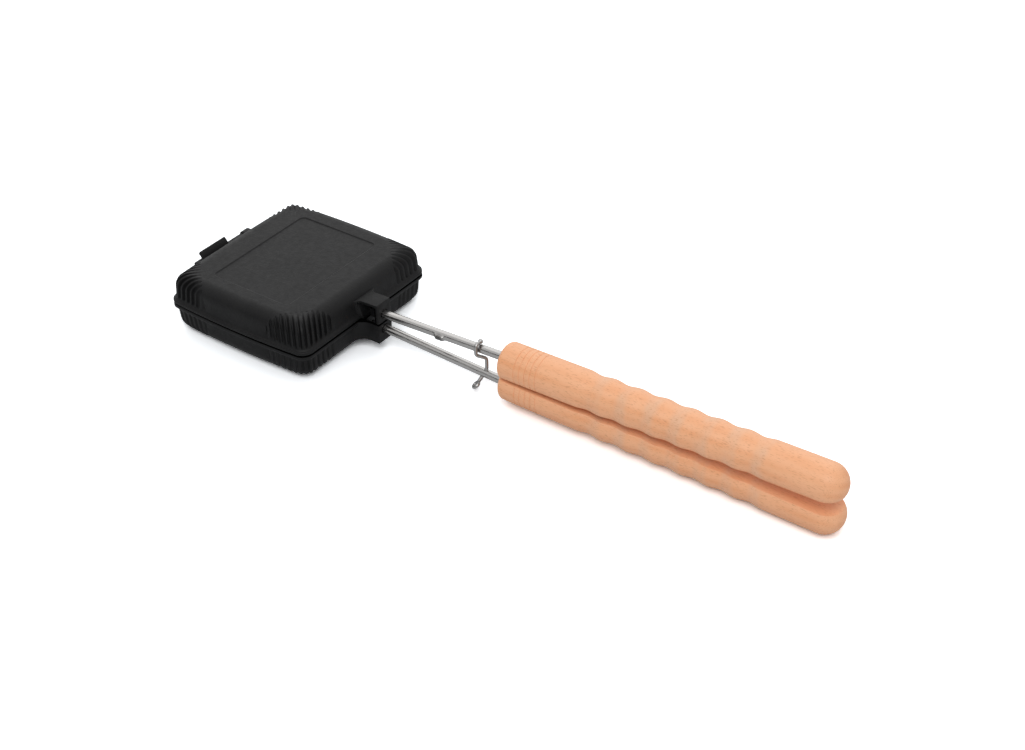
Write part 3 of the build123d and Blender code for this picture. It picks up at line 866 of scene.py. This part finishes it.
def socket(flare_r):
    """The block, flared into the pan by a radius, hollowed from the side and bored for the rod."""
    wall_x = PAN_LENGTH - RIM_PROUD - PAN_DEPTH / 2 * WALL_LEAN
    flare_x, flare_y = wall_x + flare_r, SOCKET_HALF + flare_r
    outline = np.concatenate([
        arc_points((flare_x, -flare_y), flare_r, 180, 90, FLARE_STEPS),
        [(SOCKET_X, -SOCKET_HALF), (SOCKET_X, SOCKET_HALF)],
        arc_points((flare_x, flare_y), flare_r, 270, 180, FLARE_STEPS),
        [(wall_x - CAST_WALL / 2, flare_y), (wall_x - CAST_WALL / 2, -flare_y)],
    ])
    vertices, faces = prism(outline, 2, RIM_GAP, PAN_DEPTH)
    at_top = vertices[:, 2] > RIM_GAP
    slope = np.tan(rod_slope)
    top = ROD_AT_SOCKET + SOCKET_TOP / np.cos(rod_slope) + (vertices[:, 0] - SOCKET_X) * slope
    vertices[:, 2] = np.where(at_top, top, vertices[:, 2])
    at_front = vertices[:, 0] > SOCKET_X - 0.5
    vertices[:, 0] -= np.where(at_front, (vertices[:, 2] - ROD_AT_SOCKET) * slope, 0)
    window = np.array([
        (-POCKET_BACK, -ROD_AT_SOCKET), (-POCKET_BACK, -PAN_DEPTH), (-FRONT_WALL, -PAN_DEPTH),
        (-FRONT_WALL, SOCKET_TOP - TOP_WALL), (-POCKET_BACK - POCKET_LEAN, SOCKET_TOP - TOP_WALL),
    ])
    pocket = prism(window, 1, -2 * flare_r - SOCKET_HALF, SOCKET_HALF - SIDE_WALL)
    circle = arc_points((0, 0), 1.0, 0, 360, 41)[:-1]
    bore = prism(circle * STUD_BORE_R, 0, -FRONT_WALL - 1, 1)
    seat = prism(circle * ROD_SEAT_R, 0, -ROD_SEAT, 1)
    cutters = [(beside_rod(points), sides) for points, sides in (pocket, bore, seat)]
    return cut_and_rounded((vertices, faces), cutters, SOCKET_EDGE_R)


upper_socket, lower_socket = socket(UPPER_FLARE_R), socket(LOWER_FLARE_R)
print("sockets have", len(upper_socket[0]), "and", len(lower_socket[0]), "points")

# %% [markdown]
# ## Hinge
#
# The upper pan has a bar between an ear and a long knuckle, and the lower pan has a
# curved tongue that reaches behind the bar. All of them are flat outlines carried
# sideways, with cast edges.

# %% Hinge parts
HINGE_ROOT_X = RIM_PROUD + CAST_WALL / 2
BAR_R, KNUCKLE_R = 2.0, 2.9
EAR_Y, WEB_Y, KNUCKLE_Y = (-27.7, -24.6), (1.6, 19.9), (19.5, 26.5)
TONGUE_Y = (-24.0, 1.0)
TONGUE_CURVE = (-18.7, 4.0)
TONGUE_INNER_R, TONGUE_THICKNESS, TONGUE_SWEEP = 14.2, 3.3, 47.0
TONGUE_ROOT_BOTTOM = -8.0
BAR_EDGE_R, TONGUE_EDGE_R = 0.5, 0.9
BAR_OVERLAP = 0.4  # the bar starts and ends inside the ear and the web


def bar_piece(radius, start, end):
    """A length of the bar, with a web of the same height into the pan's wall."""
    nose = arc_points((HINGE_BAR[0], HINGE_BAR[2]), radius, 90, 270, 19)
    root = [(HINGE_ROOT_X, HINGE_BAR[2] - radius), (HINGE_ROOT_X, HINGE_BAR[2] + radius)]
    return cut_and_rounded(prism(np.concatenate([nose, root]), 1, start, end), [], BAR_EDGE_R)


def bar_in_gap():
    """The round bar that the tongue hooks behind."""
    circle = arc_points((HINGE_BAR[0], HINGE_BAR[2]), BAR_R, 0, 360, 37)[:-1]
    return prism(circle, 1, EAR_Y[1] - BAR_OVERLAP, WEB_Y[0] + BAR_OVERLAP)


def tongue():
    """The curved tongue: an arc's band on a foot that runs down the lower pan's wall."""
    outer_r = TONGUE_INNER_R + TONGUE_THICKNESS
    face_x, back_x = TONGUE_CURVE[0] + outer_r, TONGUE_CURVE[0] + TONGUE_INNER_R
    foot = [(back_x, TONGUE_ROOT_BOTTOM), (HINGE_ROOT_X, TONGUE_ROOT_BOTTOM),
            (HINGE_ROOT_X, -RIM_GAP), (face_x, -RIM_GAP)]
    outline = np.concatenate([
        arc_points(TONGUE_CURVE, outer_r, 0, TONGUE_SWEEP, 12),
        arc_points(TONGUE_CURVE, TONGUE_INNER_R, TONGUE_SWEEP, 0, 12),
        foot,
    ])
    return cut_and_rounded(prism(outline, 1, *TONGUE_Y), [], TONGUE_EDGE_R)


# %% [markdown]
# ## Painted shade
#
# Shade is painted into the flutes' grooves, the sockets' pockets and the gap between the
# rims, where little light reaches: the iron's colour goes to near black there and its
# reflection fades out. A shader can find all three by the same formulas that drew them,
# once it has places in the drawing's millimetres: the distance across the diagonal,
# |y| less |x| over root 2, repeats with the flutes, a pocket is a box, and the gap lies
# near the parting plane. The lower casting is turned over, so its pocket is open to the
# other side: y times the sign of the height. Each mask fades over 0.2 to 5 mm, so the
# painted shade has no sharp edge.

# %% Painted shade in the grooves, the pockets and the rim gap
# The near black that is painted where shade falls in the recesses
PAINTED_SHADE_BLACK = (0.0015, 0.0015, 0.0015)
IRON_SHINE = 0.165  # oil and soot scatter part of what clean iron would mirror

tree = cast_iron.node_tree
here = split(tree, new_node(tree, "Mapping", {
    "Vector": object_place(tree), "Location": -shift_to_table, "Scale": (1 / MM,) * 3,
})["Vector"])
from_parting = calc(tree, "ABSOLUTE", here["Z"])
open_side = calc(tree, "MULTIPLY", here["Y"], calc(tree, "SIGN", here["Z"]))
from_middle_x = calc(tree, "ABSOLUTE", calc(tree, "SUBTRACT", here["X"], PAN_MIDDLE_X))
from_middle_y = calc(tree, "ABSOLUTE", here["Y"])
outward, sideways = (
    calc(tree, "DIVIDE", calc(tree, operation, from_middle_y, from_middle_x), ROOT_2)
    for operation in ("ADD", "SUBTRACT")
)

flute_wave = calc(tree, "COSINE", calc(tree, "MULTIPLY", sideways, 2 * np.pi / FLUTE_PITCH))
in_groove = product(
    tree,
    spread(tree, flute_wave, 0, 0.75, 0, 0.9),
    spread(tree, here["Z"], 0.45, 1, -1, 1),
    spread(tree, outward, 0, 0.9, FLUTE_START, FLUTE_START + 5),
    spread(tree, calc(tree, "ABSOLUTE", sideways), 1, 0, fluted_half - 1, fluted_half),
    spread(tree, from_parting, 0, 1, WALL_START, WALL_START + 1),
)
pocket_top = ROD_AT_SOCKET + SOCKET_TOP - TOP_WALL
lean_x = calc(tree, "MULTIPLY_ADD", from_parting, POCKET_LEAN / pocket_top, here["X"])
pocket_x, front_x = SOCKET_X - POCKET_BACK, SOCKET_X - 0.6 * FRONT_WALL
in_pocket = product(
    tree,
    spread(tree, lean_x, 0, 1, pocket_x - 0.3, pocket_x + 0.3),
    spread(tree, here["X"], 1, 0, front_x - 0.4, front_x + 0.4),
    spread(tree, open_side, 0, 1, -SOCKET_HALF - 0.9, -SOCKET_HALF - 0.3),
    spread(tree, open_side, 1, 0, SOCKET_HALF - 1.3, SOCKET_HALF - 1),
    spread(tree, from_parting, 1, 0, pocket_top - 0.2, pocket_top + 0.3),
)
in_gap = spread(tree, from_parting, 1, 0, 0.7 * RIM_GAP, 1.1 * RIM_GAP)
# Painted shade: the largest of the three masks turns the colour near black and takes the reflection
# away
painted_shade = calc(tree, "MAXIMUM", calc(tree, "MAXIMUM", in_groove, in_pocket), in_gap)
feed(iron_shader.inputs["Base Color"], blend(tree, painted_shade, unshaded_iron, PAINTED_SHADE_BLACK))
feed(iron_shader.inputs["Specular IOR Level"], spread(tree, painted_shade, IRON_SHINE, 0, 0, 1))

# %% Both castings
upper_casting = [
    upper_pan, upper_socket, bar_piece(BAR_R, *EAR_Y), bar_in_gap(),
    bar_piece(BAR_R, *WEB_Y), bar_piece(KNUCKLE_R, *KNUCKLE_Y),
]
lower_casting = [turned_over(lower_pan), turned_over(lower_socket), tongue()]
piece("upper_pan", upper_casting, cast_iron, "upper", "upper_shell")
piece("lower_pan", lower_casting, cast_iron, "lower", "lower_shell")

# %% [markdown]
# ## Rods
#
# A rod is a circle carried along a line, with a threaded end behind the socket's wall.
# The thread is a formula too: the radius goes up and down once for each pitch, and a
# turn round the rod moves the wave by one pitch. On the upper rod the smith has squeezed
# out a lug, which is the same circle with its radius raised inside a small soft window.

# %% Rods
ROD_R, STUD_R = 3.0, 2.5
STUD_LENGTH, THREAD_END = 10.7, -1.0
THREAD_PITCH, THREAD_DEPTH = 0.8, 0.3
ROD_CHAMFER = 0.25  # of the rod's end, which stands in the socket's recess
ROD_IN_GRIP = 60.0
LUG_PLACE, LUG_HALF, LUG_PROUD = 48.5, 4.0, 1.5
LUG_ANGLE, LUG_SPREAD = np.radians(195), np.radians(38)
LUG_FADE_ALONG, LUG_FADE_ROUND = (0.55, 1.2), (0.3, 1.3)  # shares of its half and its spread
ROUND_POINTS = 48


def lug_height(along, angle):
    """The lug: full in the middle of a window along and round the rod, and eased to nothing."""
    near = 1 - eased(np.abs(along - LUG_PLACE) / LUG_HALF, *LUG_FADE_ALONG)
    away = np.abs(np.angle(np.exp(1j * (angle - LUG_ANGLE))))
    return LUG_PROUD * near * (1 - eased(away / LUG_SPREAD, *LUG_FADE_ROUND))


def rings_on_rod(along, radius, closed=False):
    """A stack of rings on the rod's line, with a radius at each place along and angle round it."""
    angle = full_turn(radius.shape[1])
    points = np.broadcast_arrays(along, radius * np.cos(angle), radius * np.sin(angle))
    return stacked(beside_rod(np.stack(points, axis=-1)), closed)


def rod(with_lug):
    """The threaded stud, the shank and, where it is wanted, the lug."""
    thread = np.arange(-STUD_LENGTH, THREAD_END, THREAD_PITCH / 8)
    # Rows before and on the rod's end, on both sides of its chamfer, and on the plain shank.
    end = np.array([-0.1, 0, 0.01, 0.3, ROD_SEAT + 6]) - ROD_SEAT
    lug = np.linspace(LUG_PLACE - 1.4 * LUG_HALF, LUG_PLACE + 1.4 * LUG_HALF, 41)
    shank_end = (GRIP_FRONT_X - SOCKET_X) / np.cos(rod_slope) + ROD_IN_GRIP
    along = np.concatenate([thread, end, lug, [shank_end]])[:, None]
    angle = full_turn(ROUND_POINTS)
    turn = along / THREAD_PITCH - angle / (2 * np.pi)
    threaded = STUD_R - THREAD_DEPTH * (0.5 - 0.5 * np.cos(2 * np.pi * turn))
    radius = np.select(
        [along < THREAD_END + 0.05, along < 0.005 - ROD_SEAT, along < 0.2 - ROD_SEAT],
        [threaded, STUD_R, ROD_R - ROD_CHAMFER], ROD_R,
    )
    if with_lug:
        radius = radius + lug_height(along, angle)
    return rings_on_rod(along, radius)


upper_rod, lower_rod = rod(with_lug=True), turned_over(rod(with_lug=False))
piece("upper_rod_bar", [upper_rod], rod_steel, "upper", "upper_rod")
piece("lower_rod_bar", [lower_rod], rod_steel, "lower", "lower_rod")

# %% [markdown]
# ## Washers and nuts
#
# A washer is a ring of rectangles. A nut is a hexagon, whose radius at an angle is the
# flat's distance over the cosine of the angle from the flat's middle, cut by a cone at
# both ends: the smaller of the two radii gives a real nut's curved chamfers.

# %% Washers and nuts
WASHER_R, WASHER_THICKNESS = 4.4, 1.2
NUT_HALF_FLATS, NUT_THICKNESS = 4.0, 4.7
NUT_BORE_R, NUT_POINTS = 2.52, 96
WASHER_BORE_R, WASHER_EDGE = STUD_R + 0.1, 0.2
NUT_RISE = np.array([0, 0.12, 0.25, 0.4, 0.6])  # rows down the cone at each end
NUT_CONE_R = 0.95 * NUT_HALF_FLATS  # the cone's radius at the end
FASTENER_SMOOTH_ANGLE = 25


def washer():
    """A flat ring with slightly rounded outer edges."""
    near, far = -FRONT_WALL, -FRONT_WALL - WASHER_THICKNESS
    rows = np.array([
        (near, WASHER_BORE_R), (near, WASHER_R - WASHER_EDGE), (near - WASHER_EDGE, WASHER_R),
        (far + WASHER_EDGE, WASHER_R), (far, WASHER_R - WASHER_EDGE), (far, WASHER_BORE_R),
    ])
    return rings_on_rod(rows[:, :1], np.repeat(rows[:, 1:], ROUND_POINTS, axis=1), closed=True)


def nut():
    """A hexagon cut by a cone at both ends, with a plain bore."""
    angle = full_turn(NUT_POINTS)
    from_flat = (angle + np.pi / 6) % (np.pi / 3) - np.pi / 6
    hexagon = NUT_HALF_FLATS / np.cos(from_flat)
    depth = np.concatenate([NUT_RISE, NUT_THICKNESS - NUT_RISE[::-1]])
    cone = NUT_CONE_R + np.minimum(depth, NUT_THICKNESS - depth) * np.sqrt(3)
    outside = np.minimum(hexagon[None, :], cone[:, None])
    bore = np.full((1, NUT_POINTS), NUT_BORE_R)
    places = -FRONT_WALL - WASHER_THICKNESS - np.concatenate([[0], depth, [NUT_THICKNESS]])
    return rings_on_rod(places[:, None], np.concatenate([bore, outside, bore]), closed=True)


for half, kind, part in (
    ("upper", "washer", washer()), ("upper", "nut", nut()),
    ("lower", "washer", turned_over(washer())), ("lower", "nut", turned_over(nut())),
):
    name, node = f"{half}_{kind}_ring", f"{half}_{kind}"
    piece(name, [part], blackened_steel, half, node, FASTENER_SMOOTH_ANGLE)

# %% [markdown]
# ## Grips
#
# A grip is turned on a lathe and then planed flat on one side, where the two grips meet.
# So its section is a circle of the lathe's radius with a flat chord, and the two corners
# between them are sanded round. The lathe's radius along the grip has a rounded front
# edge, five fine rings, seven hollows for the fingers and a domed end.

# %% The turned outline
GRIP_LENGTH, GRIP_R = 241.8, 13.0
GRIP_FLAT = 6.6  # from the turning axis to the flat
GRIP_FRONT_R = 3.0
RING_FIRST, RING_PITCH, RING_COUNT = 14.0, 4.1, 5
RING_DEPTH, RING_HALF = 0.4, 0.42
WAVE_FIRST, WAVE_PITCH, WAVE_COUNT, WAVE_DEPTH = 68.4, 19.1, 7, 1.1
UPPER_GAPS, LOWER_GAPS = (1.8, 6.5), (0.25, 3.3)  # parting plane to flat, front and back


def turned_radius(s):
    """The lathe's radius at a distance along the grip.

    The front edge and the dome are quarter circles, radius + root of radius squared less
    distance squared. A ring is a short dip, and the hollows are a cosine wave.
    """
    front = np.clip(GRIP_FRONT_R - s, 0, GRIP_FRONT_R)
    radius = GRIP_R - GRIP_FRONT_R + np.sqrt(GRIP_FRONT_R**2 - front**2)
    to_dome = np.clip(s - (GRIP_LENGTH - GRIP_R), 0, GRIP_R)
    radius = np.minimum(radius, np.sqrt(GRIP_R**2 - to_dome**2))
    ring_places = RING_FIRST + RING_PITCH * np.arange(RING_COUNT)
    from_ring = np.abs(s[:, None] - ring_places).min(axis=1)
    radius -= RING_DEPTH * (1 - eased(from_ring, 0, RING_HALF))
    wave_start = WAVE_FIRST - WAVE_PITCH / 2
    in_waves = (s > wave_start) & (s < wave_start + WAVE_COUNT * WAVE_PITCH)
    hollow = 0.5 - 0.5 * np.cos(2 * np.pi * (s - wave_start) / WAVE_PITCH)
    return radius - WAVE_DEPTH * hollow * in_waves


FRONT_STEPS, DOME_STEPS, MIDDLE_STEP = 10, 28, 1.6
PLAIN_STATION = 8.0  # between the front edge and the first ring


def grip_stations():
    """Places along the grip: close together at the front edge, the rings and the dome."""
    front = GRIP_FRONT_R * (1 - np.cos(np.linspace(0, np.pi / 2, FRONT_STEPS)))
    rings = np.arange(RING_FIRST - 1.2, RING_FIRST + RING_COUNT * RING_PITCH, RING_HALF / 3)
    middle = np.arange(rings[-1] + 1.5, GRIP_LENGTH - GRIP_R, MIDDLE_STEP)
    dome = GRIP_LENGTH - GRIP_R + GRIP_R * np.sin(np.linspace(0, np.pi / 2, DOME_STEPS))
    return np.concatenate([front, [PLAIN_STATION], rings, middle, dome])


stations = grip_stations()
print(len(stations), "stations, radius from", turned_radius(stations).min().round(2), "to", GRIP_R)

# %% The section with a flat
FLAT_EDGE_R = 0.6
ROUND_STEPS, EDGE_STEPS, FLAT_STEPS = 60, 7, 8


def grip_sections(radius):
    """Circle, sanded corner, flat, sanded corner, for each radius at once.

    A corner's arc touches the circle from inside and the flat from above, so its centre
    is radius less edge radius from the axis and edge radius over the flat. A complex
    number holds both coordinates, y + i z, and e to the i turn is a point of a circle.
    """
    r = radius[:, None]
    edge = np.minimum(FLAT_EDGE_R, r / 2)
    centre_z = edge - np.minimum(GRIP_FLAT, r)
    centre_y = np.sqrt(np.maximum((r - edge) ** 2 - centre_z**2, 0))
    touch = np.arctan2(centre_z, centre_y)
    round_turn = touch + (np.pi - 2 * touch) * np.linspace(0, 1, ROUND_STEPS)
    left_turn = np.pi - touch + (np.pi / 2 + touch) * np.linspace(0, 1, EDGE_STEPS)[1:]
    right_turn = -np.pi / 2 + (np.pi / 2 + touch) * np.linspace(0, 1, EDGE_STEPS)[:-1]
    flat_y = centre_y * np.linspace(-1, 1, FLAT_STEPS)[1:-1]
    section = np.concatenate([
        r * np.exp(1j * round_turn), -centre_y + 1j * centre_z + edge * np.exp(1j * left_turn),
        flat_y + 1j * (centre_z - edge), centre_y + 1j * centre_z + edge * np.exp(1j * right_turn),
    ], axis=1)
    return section.real, section.imag


def grip(front_gap, back_gap):
    """One grip over its rod, its flat at the two gaps from the parting plane."""
    y, z = grip_sections(np.maximum(turned_radius(stations), 1e-4))
    slope = np.arctan2(back_gap - front_gap, GRIP_LENGTH)
    level = np.stack([np.broadcast_to(stations[:, None], y.shape), y, z], axis=-1)
    return stacked(level @ about_y(slope).T + (GRIP_FRONT_X, 0, front_gap + GRIP_FLAT))


upper_grip, lower_grip = grip(*UPPER_GAPS), turned_over(grip(*LOWER_GAPS))
piece("upper_wooden_grip", [upper_grip], beech, "upper", "upper_grip")
piece("lower_wooden_grip", [lower_grip], beech, "lower", "lower_grip")

# %% [markdown]
# ## Latch
#
# The latch is one bent wire: an eye to pull at, a straight stretch that turns in the
# lower rod, and a hook over the upper rod. Its route is a few corners, rounded by arcs
# that touch both runs, and a circle is carried along it. The circle's two axes are
# turned from one point of the route to the next by the least possible turn, so the wire
# doesn't twist.

# %% The wire's route
WIRE_R = 1.2
TIP_R = 1.7  # the hook's end is swollen to a knob
WIRE_BEND_R, WIRE_BEND_STEPS = 2.5, 9
WIRE_POINTS, EYE_STEPS, TIP_STEPS = 20, 40, 12
FIRST_SIDE = np.array([0.3, 0.2, 1.0])  # the side that each ring's points are counted from
LATCH_X = GRIP_FRONT_X - 18.6
ROD_AT_LATCH = ROD_AT_SOCKET + (LATCH_X - SOCKET_X) * np.tan(rod_slope)
LATCH_HOLE = np.array([LATCH_X, 0, -ROD_AT_LATCH])
LATCH_LEAN = unit(np.array([3.7, 0, 7.6]))
EYE_CENTRE, EYE_R = LATCH_HOLE + (-2.3, -6.3, -7.0), 2.1
EYE_ACROSS = np.array([0.81, -0.46, 0.37])  # a direction in the eye's plane

LEG_X, LEG_Y = LATCH_X - 2.7, -4.7  # the upright stretch beside the upper rod
HOOK_Z, HOOK_END_Y = ROD_AT_LATCH + 4.9, 2.4

below_hole = LATCH_HOLE - LATCH_LEAN * (ROD_R + 1.7)
from_eye = unit(below_hole - EYE_CENTRE)
wire_corners = np.array([
    EYE_CENTRE + from_eye * EYE_R,
    below_hole,
    LATCH_HOLE + LATCH_LEAN * (ROD_R + 1.9),
    (LATCH_X + 2.3, 0, 3.3),
    (LEG_X, LEG_Y, ROD_AT_LATCH - 3.0),
    (LEG_X, LEG_Y, HOOK_Z),
    (LEG_X, HOOK_END_Y, HOOK_Z),
])

# %% Wire
round_wire = full_turn(WIRE_POINTS)[None, :, None]


def along_route(path, radii, side):
    """Rings of the given radii along a route, starting from a side direction."""
    ahead = unit(np.gradient(path, axis=0))
    sides = []
    for direction in ahead:
        side = unit(side - direction * (side @ direction))
        sides.append(side)
    sides = np.array(sides)[:, None, :]
    others = np.cross(ahead[:, None, :], sides)
    outwards = np.cos(round_wire) * sides + np.sin(round_wire) * others
    return path[:, None, :] + radii[:, None, None] * outwards


def wire_with_tip():
    """The bent wire with a knob at its tip: the last rings grow and shrink as a circle does."""
    path = arcs_at(wire_corners, [WIRE_BEND_R] * (len(wire_corners) - 2), WIRE_BEND_STEPS)
    ahead = unit(path[-1] - path[-2])
    turn = np.linspace(-np.arccos(WIRE_R / TIP_R), np.pi / 2, TIP_STEPS)[:, None]
    middle = path[-1] - ahead * TIP_R
    tip = middle + ahead * TIP_R * np.sin(turn)
    path = path[:-1]
    radii = np.concatenate([np.full(len(path), WIRE_R), TIP_R * np.cos(turn[:, 0]) + 1e-4])
    return stacked(along_route(np.concatenate([path, tip]), radii, FIRST_SIDE))


def eye():
    """The eye's ring: a circle of wire in the plane of two directions."""
    other = unit(EYE_ACROSS - from_eye * (EYE_ACROSS @ from_eye))
    angle = full_turn(EYE_STEPS)[:, None, None]
    outwards = np.cos(angle) * from_eye + np.sin(angle) * other
    normal = np.cross(from_eye, other)
    across, beside = WIRE_R * np.cos(round_wire), WIRE_R * np.sin(round_wire)
    return stacked(EYE_CENTRE + outwards * (EYE_R + across) + normal * beside, closed=True)


piece("latch_wire", [wire_with_tip(), eye()], wire_steel, "latch", "latch")
